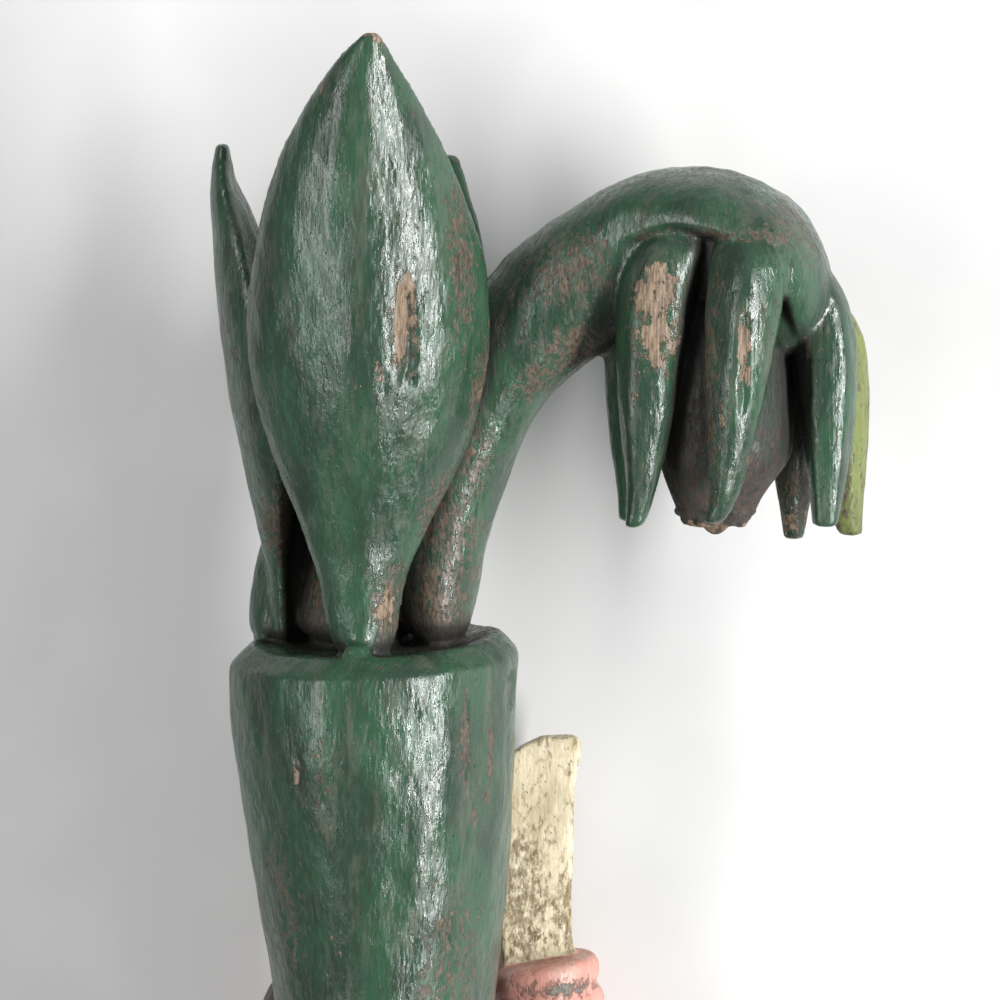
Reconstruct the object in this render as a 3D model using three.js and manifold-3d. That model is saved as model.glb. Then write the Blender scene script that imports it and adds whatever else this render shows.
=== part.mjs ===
// A carved and painted linguist staff, laid down on its side. Its finial is one block of wood:
// a plantain tree with a bunch of fruit, and a farmer with a cutlass standing at its back.
// Millimetres. Each piece is modelled upright, with Z up and the middle of the trunk's top at the origin:
// X runs towards the bunch and Y from the tall front leaf towards the farmer.
import * as THREE from "three";
import { mergeVertices } from "three/addons/utils/BufferGeometryUtils.js";
import Module from "manifold-3d";

// Driving dimensions
const trunkHeight = 255; // the trunk's top above the plinth
const trunkRadius = 31.8; // at its widest, just below the rim
const frontLeafHeight = 136.2;
const frontLeafHalfWidth = 26.2;
const sideLeafHeight = 109.6;
const sideLeafHalfWidth = 17.5;
const archAzimuth = -8; // degrees: the arch leans this much towards the front leaf
const bunchReach = 80.5; // the bunch's axis from the trunk's
const plinthRadius = 42;
const plinthThickness = 16;
const shaftLength = 1090; // plinth to foot, in two lengths
const shaftJointAt = 545; // the lower length starts this far below the plinth
const shaftRadius = 15.5;
const shaftSides = 18;
const fitGap = 0.3; // clearance round each tenon

// How the staff lies: on the farmer's nose and thumb, and on the ring above the foot
const restRoll = 14.737; // degrees about the staff's own axis
const restPitch = 1.417; // degrees that the finial lies higher than the foot

const wasm = await Module();
wasm.setup();
const radians = THREE.MathUtils.degToRad;
const turned = (azimuth) => new THREE.Vector3(Math.cos(radians(azimuth)), Math.sin(radians(azimuth)), 0);

// Booleans: a closed three.js geometry as a solid, and a solid as a geometry
function solidOf(geometry) {
  const bare = new THREE.BufferGeometry();
  bare.setAttribute("position", geometry.getAttribute("position"));
  bare.setIndex(geometry.index);
  const merged = mergeVertices(bare, 1e-4);
  return new wasm.Manifold(
    new wasm.Mesh({
      numProp: 3,
      vertProperties: merged.attributes.position.array,
      triVerts: new Uint32Array(merged.index.array),
    }),
  );
}

function geometryOf(solid) {
  const mesh = solid.getMesh();
  const geometry = new THREE.BufferGeometry();
  geometry.setAttribute("position", new THREE.BufferAttribute(mesh.vertProperties, 3));
  geometry.setIndex(new THREE.BufferAttribute(mesh.triVerts, 1));
  geometry.computeVertexNormals();
  return geometry;
}

const joined = (solids) => solids.reduce((whole, solid) => whole.add(solid));

// Outlines across a limb: u runs across it and v towards its front, each from -1 to 1
const round = (angle) => [Math.cos(angle), Math.sin(angle)];
const ridged = (ridges, depth) => (angle) => {
  const reach = 1 + depth * Math.cos(ridges * angle);
  return [reach * Math.cos(angle), reach * Math.sin(angle)];
};
const boxy = (power) => (angle) => {
  const soften = (value) => Math.sign(value) * Math.abs(value) ** power;
  return [soften(Math.cos(angle)), soften(Math.sin(angle))];
};
const leafSection = (angle) => [Math.cos(angle), Math.sin(angle) * (Math.sin(angle) > 0 ? 1 : 0.2)];

// A limb drawn through stations [x, y, z, half width, half depth]. The front is the side that faces the
// given direction, and level limbs keep their rings horizontal.
function limb(stations, { sides = 12, steps = 3, front = [0, -1, 0], level = false, outline = round }) {
  const line = new THREE.CatmullRomCurve3(stations.map(([x, y, z]) => new THREE.Vector3(x, y, z)));
  const sizes = new THREE.CatmullRomCurve3(stations.map((s) => new THREE.Vector3(s[3], s[4], 0)));
  const rings = (stations.length - 1) * steps;
  const geometry = new THREE.CylinderGeometry(1, 1, 1, sides, rings);
  const frames = [];
  for (let ring = 0; ring <= rings; ring++) {
    const t = ring / rings;
    const along = level ? new THREE.Vector3(0, 0, 1) : line.getTangent(t);
    const ahead = new THREE.Vector3(...front);
    ahead.addScaledVector(along, -ahead.dot(along)).normalize();
    const across = new THREE.Vector3().crossVectors(along, ahead);
    frames.push({ at: line.getPoint(t), size: sizes.getPoint(t), ahead, across });
  }
  const position = geometry.attributes.position;
  for (let i = 0; i < position.count; i++) {
    const frame = frames[Math.round((position.getY(i) + 0.5) * rings)];
    const onWall = Math.hypot(position.getX(i), position.getZ(i)) > 0.5;
    const [u, v] = onWall ? outline(Math.atan2(position.getZ(i), position.getX(i))) : [0, 0];
    const point = frame.at
      .clone()
      .addScaledVector(frame.across, u * frame.size.x)
      .addScaledVector(frame.ahead, v * frame.size.y);
    position.setXYZ(i, point.x, point.y, point.z);
  }
  return solidOf(geometry);
}

// A squashed ball with its half sizes along X, Y and Z, turned about Y by a number of degrees
function ball([x, y, z], [a, b, c], { around = 8, up = 5, lean = 0 } = {}) {
  const geometry = new THREE.SphereGeometry(1, around, up);
  geometry.rotateX(Math.PI / 2);
  geometry.scale(a, b, c);
  geometry.rotateY(radians(lean));
  geometry.translate(x, y, z);
  return solidOf(geometry);
}

// A turned piece about a vertical axis, from [radius, z] points that start and end on the axis and run
// down its outside
function turning(points, segments, [x, y]) {
  const profile = points.map(([radius, z]) => new THREE.Vector2(radius, z)).reverse();
  const geometry = new THREE.LatheGeometry(profile, segments);
  geometry.rotateX(Math.PI / 2);
  geometry.translate(x, y, 0);
  return geometry;
}

// The trunk: an upturned cone with a rounded rim that leans a little and spreads into the plinth:
// [lean, height, radius]
const trunkForm = [
  [3, -trunkHeight - 2, 25],
  [3, -trunkHeight + 12, 22.6],
  [3, -170, 22],
  [2.7, -115, 23.2],
  [2.2, -79, 25.2],
  [2, -69.5, 26.4],
  [1.4, -51.6, 28.5],
  [0.5, -33.6, 30.3],
  [-0.3, -20.2, trunkRadius - 0.1],
  [-0.2, -7, trunkRadius],
  [0, -1.8, trunkRadius - 1.5],
  [0, 0, 27],
];

function trunk() {
  const stations = trunkForm.map(([lean, z, radius]) => [lean, 0, z, radius, radius]);
  return limb(stations, { sides: 26, steps: 1, level: true });
}

// A leaf: [share of its height, share of its half width, distance of its edges from the trunk's axis,
// drift sideways]
const leafForm = [
  [0, 0.3, 18.2, -1.4],
  [0.09, 0.33, 18.8, -2],
  [0.19, 0.5, 18.6, -1.6],
  [0.27, 0.68, 18, -0.8],
  [0.36, 0.87, 17.8, -0.6],
  [0.5, 1, 19.4, -0.4],
  [0.64, 0.94, 22, -0.6],
  [0.74, 0.8, 24.4, -1.6],
  [0.84, 0.59, 27.6, -2.2],
  [0.93, 0.3, 31.4, -1.8],
  [0.98, 0.11, 34, -0.9],
  [1, 0.02, 35, -0.6],
];
const leafBulge = 0.67; // the outer face's depth for each unit of half width
const leafRoot = 3; // how far a leaf runs down into the trunk
const keenTip = 0.6; // half thickness of a leaf's tip

function leaf(azimuth, height, halfWidth, tip = keenTip) {
  const out = turned(azimuth);
  const side = turned(azimuth + 90);
  const rise = leafForm.map(([share, width, reach, drift]) => [
    out.x * reach + side.x * drift,
    out.y * reach + side.y * drift,
    height * share - (share === 0 ? leafRoot : 0),
    Math.max(width * halfWidth, tip),
    Math.max(width * halfWidth * leafBulge, tip * 0.7),
  ]);
  return limb(rise, {
    sides: 14,
    steps: 1,
    level: true,
    front: out.toArray(),
    outline: leafSection,
  });
}

// The stalk rises from the trunk, arches over and ends in the crown that the fruit hang from:
// [reach from the trunk's axis, height, half thickness in the arch's plane, half depth]
const archForm = [
  [14.6, -3, 7.4, 7],
  [16.8, 19, 8.6, 7.8],
  [20.2, 38, 10.6, 9],
  [26.7, 54.4, 14.8, 10.5],
  [36.6, 68.2, 16.8, 12],
  [53, 82.2, 17, 12.8],
  [68.5, 88.6, 17, 13.5],
  [82.6, 85, 15.6, 13.5],
  [89.8, 75.5, 11, 11.5],
  [92, 65, 6, 7],
];
const archDirection = turned(archAzimuth);
const overArch = (reach, across, height) => {
  const sideways = turned(archAzimuth + 90);
  return [
    archDirection.x * reach + sideways.x * across,
    archDirection.y * reach + sideways.y * across,
    height,
  ];
};

function arch() {
  const stations = archForm.map(([reach, z, thick, deep]) => [...overArch(reach, 0, z), thick, deep]);
  const front = turned(archAzimuth - 90).toArray();
  return limb(stations, { sides: 14, steps: 2, front });
}

// A plantain: [distance from the bunch's axis, height, half thickness], blossom end last
const fruitForm = [
  [8, 87, 6],
  [15, 82.5, 8.8],
  [19.5, 71, 9.6],
  [21, 57, 8.6],
  [21, 44, 6.4],
  [21, 34, 3.7],
  [21, 30, 2.3],
  [21, 28.2, 1.6],
];
// Each fruit: [direction round the bunch in degrees, size, how much lower it starts, drift of its tip
// outwards, drift round, how much lower it ends]
const fruits = [
  [-138, 1.06, -1, 4.5, -10, 0],
  [-70, 0.9, -1, 0, -28, -2],
  [-21, 0.84, 7, 0, -3, 0],
  [17, 0.9, 9, 5, 6, 3],
  [52, 0.9, 4, 1, -3, 4],
  [112, 0.98, 0, 0, 3, 1],
  [170, 1, 0, 3, 0, 1],
];

function fruit([azimuth, size, lower, outwards, around, drop]) {
  const [x, y] = overArch(bunchReach, 0, 0);
  const stations = fruitForm.map(([reach, z, thick], i) => {
    const share = i / (fruitForm.length - 1);
    const direction = turned(azimuth + archAzimuth + around * share);
    const r = reach + outwards * share;
    const height = z - lower * (1 - share) - drop * share;
    return [x + direction.x * r, y + direction.y * r, height, thick * size, thick * size];
  });
  const front = turned(azimuth + archAzimuth).toArray();
  return limb(stations, { sides: 8, steps: 1, front, outline: ridged(4, 0.05) });
}

// The core that was left between the fruit, cut off flat below, with the bud's tip under it
function core() {
  const [x, y] = overArch(bunchReach - 4, 0, 0);
  const block = [
    [0, 84],
    [13, 84],
    [14, 60],
    [13.5, 39],
    [6.6, 27.6],
    [0, 27.6],
  ];
  const bud = [
    [0, 31],
    [3.6, 31],
    [3.5, 27.2],
    [0.8, 24.6],
    [0, 24.6],
  ];
  const turn = (points) => solidOf(turning(points, 12, [x, y]));
  return turn(block).add(turn(bud));
}

// The farmer stands at the trunk's back, facing away from the front leaf
const farmerY = 34; // the middle of the body
const crown = -77; // the top of the head
const headMiddle = [-5, farmerY + 5, crown - 28];

function head() {
  const [x, y, z] = headMiddle;
  const toFace = [0, 1, 0];
  const skull = limb(
    [
      [x, y - 6, z - 34, 9, 9],
      [x, y - 3, z - 27, 10.5, 11],
      [x, y + 1, z - 24, 14, 15],
      [x, y + 1, z - 14, 18.5, 19.5],
      [x, y, z - 2, 21, 22],
      [x, y - 1, z + 10, 21.8, 22.5],
      [x, y - 1, z + 20, 17.5, 18],
      [x, y - 1, z + 27, 7, 7.5],
    ],
    { sides: 16, steps: 1, level: true, front: toFace },
  );
  const hair = ball([x, y - 4.5, z + 7], [23.4, 22.5, 22], { around: 16, up: 8 });
  const nose = limb(
    [
      [x, y + 19, z - 10.5, 2.6, 2.4],
      [x, y + 22, z - 7.5, 3.8, 3.4],
      [x, y + 21.8, z - 3, 2.4, 3],
      [x, y + 19.5, z + 4, 1.6, 2.4],
    ],
    { sides: 8, steps: 1, level: true, front: toFace },
  );
  const pairs = [-1, 1].flatMap((hand) => [
    ball([x + hand * 8.2, y + 19.4, z], [4.4, 2.6, 2.2], { lean: hand * 6 }),
    ball([x + hand * 8.2, y + 19, z + 5.6], [5.8, 2.6, 1.5], { lean: hand * 8 }),
    ball([x + hand * 21.6, y - 1, z - 4], [3, 4.4, 6.6]),
  ]);
  const lips = [-15.2, -17.6].map((below) =>
    ball([x, y + 18.2, z + below], [6, 2.8, 1.5]),
  );
  return [skull, hair, nose, ...pairs, ...lips];
}

// The body above the cloth, bare to the waist
const shoulderZ = crown - 72;
const waistZ = crown - 115;
const bodyX = -3;

function torso() {
  return limb(
    [
      [bodyX, farmerY, waistZ - 6, 18, 12],
      [bodyX, farmerY + 1, waistZ + 6, 17.5, 12.5],
      [bodyX, farmerY + 1, waistZ + 20, 20.5, 13.5],
      [bodyX, farmerY, waistZ + 33, 25, 13.5],
      [bodyX, farmerY - 1, shoulderZ + 0.5, 25.5, 11.5],
      [bodyX - 0.5, farmerY - 1, shoulderZ + 6.5, 17, 9],
      [bodyX - 1, farmerY, shoulderZ + 11, 9.8, 8.6],
    ],
    { sides: 16, steps: 1, level: true, front: [0, 1, 0], outline: boxy(0.85) },
  );
}

// The raised arm with its fist round the cutlass's grip, and the other hand on the cloth's knot
const fistMiddle = [40.6, farmerY + 4, -96];
const fistRadius = 11.2;
const fingerWidth = 7.4;
const fistTilt = 10; // degrees: the knuckles' side is the higher one

// Four fingers, one above another: each swells between two grooves.
function fist() {
  const [x, y, z] = fistMiddle;
  const tilt = Math.tan(radians(fistTilt));
  const at = (rise, share) => [x - rise * tilt, y, z + rise, fistRadius * share, fistRadius * share * 0.94];
  const stations = [at(-2 * fingerWidth - 1, 0.6)];
  for (let finger = -2; finger < 2; finger++) {
    stations.push(at((finger + 0.22) * fingerWidth, 1), at((finger + 0.78) * fingerWidth, 1));
    stations.push(at((finger + 1) * fingerWidth, finger < 1 ? 0.87 : 0.8));
  }
  const fingers = limb(stations, { sides: 12, steps: 1, front: [0, 1, 0], outline: boxy(0.8) });
  const thumb = limb(
    [
      [x - 9, y + 4, z - 8, 4, 3.4],
      [x - 5, y + 9.4, z + 1, 4.4, 3.8],
      [x + 1, y + 11.4, z + 8, 4, 3.4],
      [x + 3, y + 11, z + 11.5, 2.2, 2],
    ],
    { sides: 8, steps: 1, front: [0, 1, 0] },
  );
  return [fingers, thumb];
}

function arms() {
  const [fx, fy, fz] = fistMiddle;
  const raised = limb(
    [
      [15, farmerY - 1, shoulderZ - 3, 10, 10],
      [27, farmerY, shoulderZ, 9.6, 10],
      [41, farmerY + 1, shoulderZ + 4, 8.2, 8.8],
      [50.5, farmerY + 2, shoulderZ + 11, 8, 8.4],
      [51.5, farmerY + 3, shoulderZ + 24, 7.6, 8],
      [47, farmerY + 4, shoulderZ + 35, 6.8, 7],
      [fx + 2, fy, fz - 9, 7.6, 7.6],
    ],
    { sides: 10, steps: 2, front: [0, 1, 0] },
  );
  const lowered = limb(
    [
      [-22, farmerY - 1, shoulderZ - 3, 10, 10],
      [-33, farmerY, shoulderZ - 7, 9, 9.6],
      [-39, farmerY + 1, shoulderZ - 20, 7.8, 8.4],
      [-40, farmerY + 4, shoulderZ - 33, 7.4, 7.6],
      [-32, farmerY + 10, shoulderZ - 42, 6.6, 6.4],
      [-21, farmerY + 14, shoulderZ - 45, 6, 4.8],
      [-12, farmerY + 14.5, shoulderZ - 45, 6.6, 4],
      [-6, farmerY + 13.5, shoulderZ - 45, 3.2, 2.2],
    ],
    { sides: 10, steps: 2, front: [0, 1, 0] },
  );
  return [raised, lowered, ...fist()];
}

// The cutlass: its blade flares to a slanted end, and its grip runs through the fist to a pommel
const bladeThickness = 4.6;
const bladeTip = 67.4; // above the fist's middle

function cutlass() {
  const [fx, fy, fz] = fistMiddle;
  const blade = new THREE.Shape();
  blade.moveTo(fx - 11, fz + 9);
  blade.quadraticCurveTo(fx - 14, fz + 36, fx - 13.6, fz + 58);
  blade.quadraticCurveTo(fx - 8.6, fz + 65.2, fx - 3, fz + bladeTip);
  blade.lineTo(fx + 4, fz + bladeTip);
  blade.quadraticCurveTo(fx + 6.6, fz + 66, fx + 6, fz + 61.6);
  blade.quadraticCurveTo(fx + 3.2, fz + 54, fx + 4.4, fz + 42);
  blade.quadraticCurveTo(fx + 2.6, fz + 28, fx + 5.4, fz + 11);
  const sheet = { depth: bladeThickness, bevelEnabled: false, curveSegments: 4 };
  const flat = new THREE.ExtrudeGeometry(blade, sheet);
  flat.rotateX(Math.PI / 2);
  flat.translate(0, fy + bladeThickness / 2, 0);
  const grip = limb(
    [
      [fx + 1.8, fy, fz - 23, 3, 3],
      [fx + 1.6, fy, fz - 20, 5.4, 5],
      [fx + 1, fy, fz - 14, 4.4, 4],
      [fx, fy, fz + 12, 5, 4.4],
    ],
    { sides: 8, steps: 1, level: true },
  );
  return [solidOf(flat), grip];
}

// The cloth wrapped round the hips, with carved folds, and the feet below it
function cloth() {
  const hem = -trunkHeight + 11;
  const wrap = limb(
    [
      [bodyX, farmerY, hem, 26, 15.5],
      [bodyX, farmerY + 0.5, hem + 16, 25, 15.5],
      [bodyX, farmerY + 0.5, hem + 34, 23, 15],
      [bodyX, farmerY + 1, waistZ - 6, 20.5, 14.5],
      [bodyX, farmerY + 1, waistZ + 1, 19.5, 14.2],
      [bodyX, farmerY + 1, waistZ + 3.5, 17, 12.5],
    ],
    { sides: 28, steps: 1, level: true, front: [0, 1, 0], outline: ridged(7, 0.035) },
  );
  const knot = ball([bodyX - 2, farmerY + 15.5, waistZ - 3], [7, 3.6, 4.6], { lean: 20 });
  const feet = [-1, 1].map((hand) =>
    limb(
      [
        [bodyX + hand * 11, farmerY - 6, -trunkHeight + 7, 8, 9.5],
        [bodyX + hand * 11.5, farmerY + 8, -trunkHeight + 5.5, 8.6, 8],
        [bodyX + hand * 12, farmerY + 15.5, -trunkHeight + 3.6, 9, 6],
        [bodyX + hand * 12, farmerY + 20, -trunkHeight + 2, 6, 3],
      ],
      { sides: 12, steps: 1, front: [0, 0, 1] },
    ),
  );
  return [wrap, knot, ...feet];
}

// The plinth under both, with the tenon that goes into the shaft
const shaftAxis = [2, 15];
const plinthTop = -trunkHeight;
const plinthUnder = plinthTop - plinthThickness;
const tenon = { radius: 9, length: 28 };

function plinth() {
  const r = plinthRadius;
  return solidOf(
    turning(
      [
        [0, plinthTop],
        [r - 3, plinthTop],
        [r, plinthTop - 3],
        [r - 0.6, plinthUnder + 5],
        [r - 5, plinthUnder],
        [tenon.radius, plinthUnder],
        [tenon.radius, plinthUnder - tenon.length + 1.5],
        [tenon.radius - 1.5, plinthUnder - tenon.length],
        [0, plinthUnder - tenon.length],
      ],
      28,
      shaftAxis,
    ),
  );
}

function finial() {
  const tree = [
    trunk(),
    leaf(-90, frontLeafHeight, frontLeafHalfWidth),
    leaf(172, sideLeafHeight, sideLeafHalfWidth),
    leaf(115, 104, 18),
    leaf(61, 106.5, 17, 1.8),
    arch(),
    core(),
    ...fruits.map(fruit),
  ];
  const stub = limb(
    [
      [-20, 9, -3, 8, 7.5],
      [-19.6, 9, 6, 7.4, 7],
      [-18.4, 9.4, 17, 6.4, 6],
      [-17.4, 10, 25, 4.4, 4.2],
      [-17, 10, 27, 1.6, 1.6],
    ],
    { sides: 12, steps: 1, level: true },
  );
  const heart = limb(
    [
      [-2, 3, -3, 18, 17],
      [-1.5, 3.5, 12, 14, 14],
      [-1, 4, 34, 9, 9.5],
      [-1, 4, 44, 4, 4],
    ],
    { sides: 10, steps: 1, level: true },
  );
  const farmer = [...head(), torso(), ...arms(), ...cutlass(), ...cloth()];
  return joined([...tree, stub, heart, ...farmer, plinth()]);
}

// The shaft in two lengths: a tenon below the upper one goes into the lower one
const jointTenon = { radius: 8, length: 30 };
const top = plinthUnder - fitGap;
const joint = plinthUnder - shaftJointAt;
const foot = plinthUnder - shaftLength;

function upperShaft() {
  const r = shaftRadius;
  const hole = tenon.radius + fitGap;
  const bottom = top - tenon.length - 1;
  return turning(
    [
      [0, bottom],
      [hole, bottom],
      [hole, top],
      [21, top],
      [23, top - 3],
      [23, top - 9],
      [20, top - 13],
      [16, top - 15],
      [15, top - 20],
      [18.5, top - 24],
      [18.5, top - 29],
      [r, top - 34],
      [r + 0.4, top - 200],
      [r, joint + 24],
      [18.5, joint + 19],
      [18.5, joint + 11],
      [16.5, joint + 8],
      [19, joint + 4],
      [19, joint],
      [jointTenon.radius, joint],
      [jointTenon.radius, joint - jointTenon.length + 1.5],
      [jointTenon.radius - 1.5, joint - jointTenon.length],
      [0, joint - jointTenon.length],
    ],
    shaftSides,
    shaftAxis,
  );
}

function lowerShaft() {
  const r = shaftRadius;
  const hole = jointTenon.radius + fitGap;
  const start = joint - fitGap;
  const bottom = start - jointTenon.length - 1;
  return turning(
    [
      [0, bottom],
      [hole, bottom],
      [hole, start],
      [19, start],
      [19, start - 4],
      [16.5, start - 8],
      [18.5, start - 11],
      [18.5, start - 19],
      [r, start - 24],
      [r - 0.6, start - 220],
      [13.2, foot + 52],
      [13, foot + 44],
      [16, foot + 39],
      [16, foot + 33],
      [13.6, foot + 28],
      [14.6, foot + 12],
      [14, foot + 3],
      [11.5, foot],
      [0, foot],
    ],
    shaftSides,
    shaftAxis,
  );
}

const paint = (color, roughness) => new THREE.MeshStandardMaterial({ color, roughness, metalness: 0 });

function piece(name, geometry, material) {
  const mesh = new THREE.Mesh(geometry, material);
  mesh.name = name;
  return mesh;
}

const staff = new THREE.Group();
staff.add(
  piece("finial", geometryOf(finial()), paint(0x1f4a38, 0.35)),
  piece("upper_shaft", upperShaft(), paint(0x24473a, 0.4)),
  piece("lower_shaft", lowerShaft(), paint(0x24473a, 0.4)),
);

// Laid down: the staff's Z runs along +X, and the side of the front leaf faces up.
const lying = new THREE.Matrix4().makeBasis(
  new THREE.Vector3(0, -1, 0),
  new THREE.Vector3(0, 0, -1),
  new THREE.Vector3(1, 0, 0),
);
staff.quaternion.setFromRotationMatrix(lying);
const rolled = new THREE.Group();
rolled.add(staff);
rolled.rotation.x = radians(restRoll);
const pitched = new THREE.Group();
pitched.add(rolled);
pitched.rotation.y = radians(-restPitch);
const laid = new THREE.Group();
laid.add(pitched);
laid.updateMatrixWorld(true);
const box = new THREE.Box3().setFromObject(laid, true);
pitched.position.set(-(box.min.x + box.max.x) / 2, -(box.min.y + box.max.y) / 2, -box.min.z);

export default laid;
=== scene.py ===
import math
import bmesh
import bpy
import numpy as np
from mathutils import Matrix, Vector, noise
from mathutils.bvhtree import BVHTree


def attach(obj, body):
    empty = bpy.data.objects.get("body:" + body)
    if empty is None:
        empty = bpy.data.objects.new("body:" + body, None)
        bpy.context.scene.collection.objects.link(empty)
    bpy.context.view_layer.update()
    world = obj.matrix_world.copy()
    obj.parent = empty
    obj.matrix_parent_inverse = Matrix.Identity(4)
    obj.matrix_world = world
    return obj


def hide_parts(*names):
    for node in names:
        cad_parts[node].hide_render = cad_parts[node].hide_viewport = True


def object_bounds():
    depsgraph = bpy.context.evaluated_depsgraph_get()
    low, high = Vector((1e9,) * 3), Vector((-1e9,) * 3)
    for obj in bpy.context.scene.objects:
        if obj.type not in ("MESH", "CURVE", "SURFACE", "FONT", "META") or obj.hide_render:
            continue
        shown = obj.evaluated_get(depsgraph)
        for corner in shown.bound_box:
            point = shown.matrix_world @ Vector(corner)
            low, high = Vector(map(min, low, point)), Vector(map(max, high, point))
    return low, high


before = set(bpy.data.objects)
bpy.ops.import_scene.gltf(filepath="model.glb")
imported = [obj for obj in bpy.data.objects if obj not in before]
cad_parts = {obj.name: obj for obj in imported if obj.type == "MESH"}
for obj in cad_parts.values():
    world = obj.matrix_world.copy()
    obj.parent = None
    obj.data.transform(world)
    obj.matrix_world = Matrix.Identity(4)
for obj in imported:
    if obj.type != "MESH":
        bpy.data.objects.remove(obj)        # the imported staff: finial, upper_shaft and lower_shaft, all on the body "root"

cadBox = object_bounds()
mm = 0.001

# The staff is drawn upright, in mm, with the middle of the trunk's top at the origin: X towards the
# bunch, Y towards the farmer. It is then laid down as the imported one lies.
lying = {"roll": 14.737, "pitch": 1.417, "place": (612.587, 26.1833, 63.7782)}
onItsSide = Matrix(((0, 0, 1), (-1, 0, 0), (0, -1, 0))).to_4x4()
layDown = (
    Matrix.Translation(Vector(lying["place"]) * mm)
    @ Matrix.Rotation(math.radians(-lying["pitch"]), 4, "Y")
    @ Matrix.Rotation(math.radians(lying["roll"]), 4, "X")
    @ onItsSide
)


def deselectAll():
    if bpy.context.mode != "OBJECT":
        bpy.ops.object.mode_set(mode="OBJECT")
    bpy.ops.object.select_all(action="DESELECT")


# ---- camera, floor and lights

view = {"target": (28.2, 0, 31.1), "distance": 1200, "lookDown": 7.5, "lens": 194.4}


def setCamera():
    deselectAll()
    down = math.radians(view["lookDown"])
    ahead = Vector((0, math.cos(down), -math.sin(down)))
    up = Vector((0, math.sin(down), math.cos(down)))
    right = Vector((1, 0, 0))
    place = Vector(view["target"]) - ahead * view["distance"]
    stand = Matrix((right, up, -ahead)).transposed().to_4x4()
    stand = Matrix.Translation(place * mm) @ stand
    bpy.ops.object.camera_add()
    camera = bpy.context.object
    camera.name = "camera"
    camera.matrix_world = layDown @ stand
    camera.data.lens = view["lens"]
    camera.data.sensor_width = 36
    camera.data.clip_start = 0.05
    camera.data.clip_end = 30
    bpy.context.scene.camera = camera
    return camera.matrix_world.copy()


# Each softbox: degrees to the right of the camera, degrees above it, distance, width, height, watts
softboxes = {
    "keyStrip": (41, -5, 1.25, 0.13, 1.3, 34),
    "fillStrip": (-46, -2, 1.2, 0.3, 1.1, 8),
    "topBox": (8, 62, 1.6, 1.2, 0.8, 1),
}
floorLook = {"size": 8, "colour": (0.66, 0.66, 0.65), "other": (0.61, 0.61, 0.605), "roughness": 0.65}


def setLights(cameraPlace):
    middle = layDown @ (Vector(view["target"]) * mm)
    turnOnly = cameraPlace.to_3x3()
    for name, (across, above, distance, width, height, watts) in softboxes.items():
        a, b = math.radians(across), math.radians(above)
        towards = Vector((math.sin(a) * math.cos(b), math.sin(b), math.cos(a) * math.cos(b)))
        towards = turnOnly @ towards
        bpy.ops.object.light_add(type="AREA", location=middle + towards * distance)
        light = bpy.context.object
        light.name = name
        light.data.shape = "RECTANGLE"
        light.data.size = width
        light.data.size_y = height
        light.data.energy = watts
        ahead = -towards
        up = (turnOnly @ Vector((0, 1, 0))).normalized()
        side = ahead.cross(up).normalized()
        up = side.cross(ahead).normalized()
        facing = Matrix((side, up, -ahead)).transposed().to_4x4()
        light.matrix_world = Matrix.Translation(middle + towards * distance) @ facing
        light.visible_camera = False


def setFloor():
    deselectAll()
    bpy.ops.mesh.primitive_plane_add(size=floorLook["size"])
    floor = bpy.context.object
    floor.name = "floor"
    floor.data.materials.append(floorMaterial())


def setWorld():
    world = bpy.data.worlds.new("studio")
    world.use_nodes = True
    world.node_tree.nodes["Background"].inputs["Color"].default_value = (0.96, 0.98, 1, 1)
    world.node_tree.nodes["Background"].inputs["Strength"].default_value = 0.3
    bpy.context.scene.world = world
    bpy.context.scene.view_settings.view_transform = "Standard"


# ---- node helpers: each returns the socket that carries its result


def add(tree, kind, **values):
    node = tree.nodes.new(kind)
    for key, value in values.items():
        setattr(node, key, value)
    return node


def feed(tree, socket, value):
    if isinstance(value, bpy.types.NodeSocket):
        tree.links.new(value, socket)
    elif isinstance(value, tuple):
        socket.default_value = (*value, 1)
    else:
        socket.default_value = value


def maths(tree, operation, a, b=0.0, clamp=False):
    node = add(tree, "ShaderNodeMath", operation=operation, use_clamp=clamp)
    feed(tree, node.inputs[0], a)
    feed(tree, node.inputs[1], b)
    return node.outputs[0]


def total(tree, *terms):
    value = terms[0]
    for term in terms[1:]:
        value = maths(tree, "ADD", value, term)
    return value


def times(tree, value, amount):
    return maths(tree, "MULTIPLY", value, amount)


def blend(tree, amount, a, b):
    node = add(tree, "ShaderNodeMix", data_type="RGBA", clamp_factor=True)
    feed(tree, node.inputs[0], amount)
    feed(tree, node.inputs[6], a)
    feed(tree, node.inputs[7], b)
    return node.outputs[2]


def ramp(tree, value, low, high, start=0.0, end=1.0):
    node = add(tree, "ShaderNodeMapRange", clamp=True, interpolation_type="SMOOTHSTEP")
    for socket, number in zip(node.inputs, (value, low, high, start, end)):
        feed(tree, socket, number)
    return node.outputs[0]


# places in mm, drawn out along the staff, which lies along X
def alongStaff(tree, stretch, shift):
    place = add(tree, "ShaderNodeTexCoord")
    turn = add(tree, "ShaderNodeMapping", vector_type="POINT")
    turn.inputs["Location"].default_value = (shift * 31, shift * 17, -shift * 23)
    turn.inputs["Scale"].default_value = (1000 / stretch, 1000, 1000)
    tree.links.new(place.outputs["Object"], turn.inputs["Vector"])
    return turn.outputs[0]


def grain(tree, size, stretch=1.0, detail=3.0, rough=0.55, shift=0.0):
    node = add(tree, "ShaderNodeTexNoise", noise_dimensions="3D")
    tree.links.new(alongStaff(tree, stretch, shift), node.inputs["Vector"])
    node.inputs["Scale"].default_value = 1 / size
    node.inputs["Detail"].default_value = detail
    node.inputs["Roughness"].default_value = rough
    return node.outputs[0]


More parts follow.
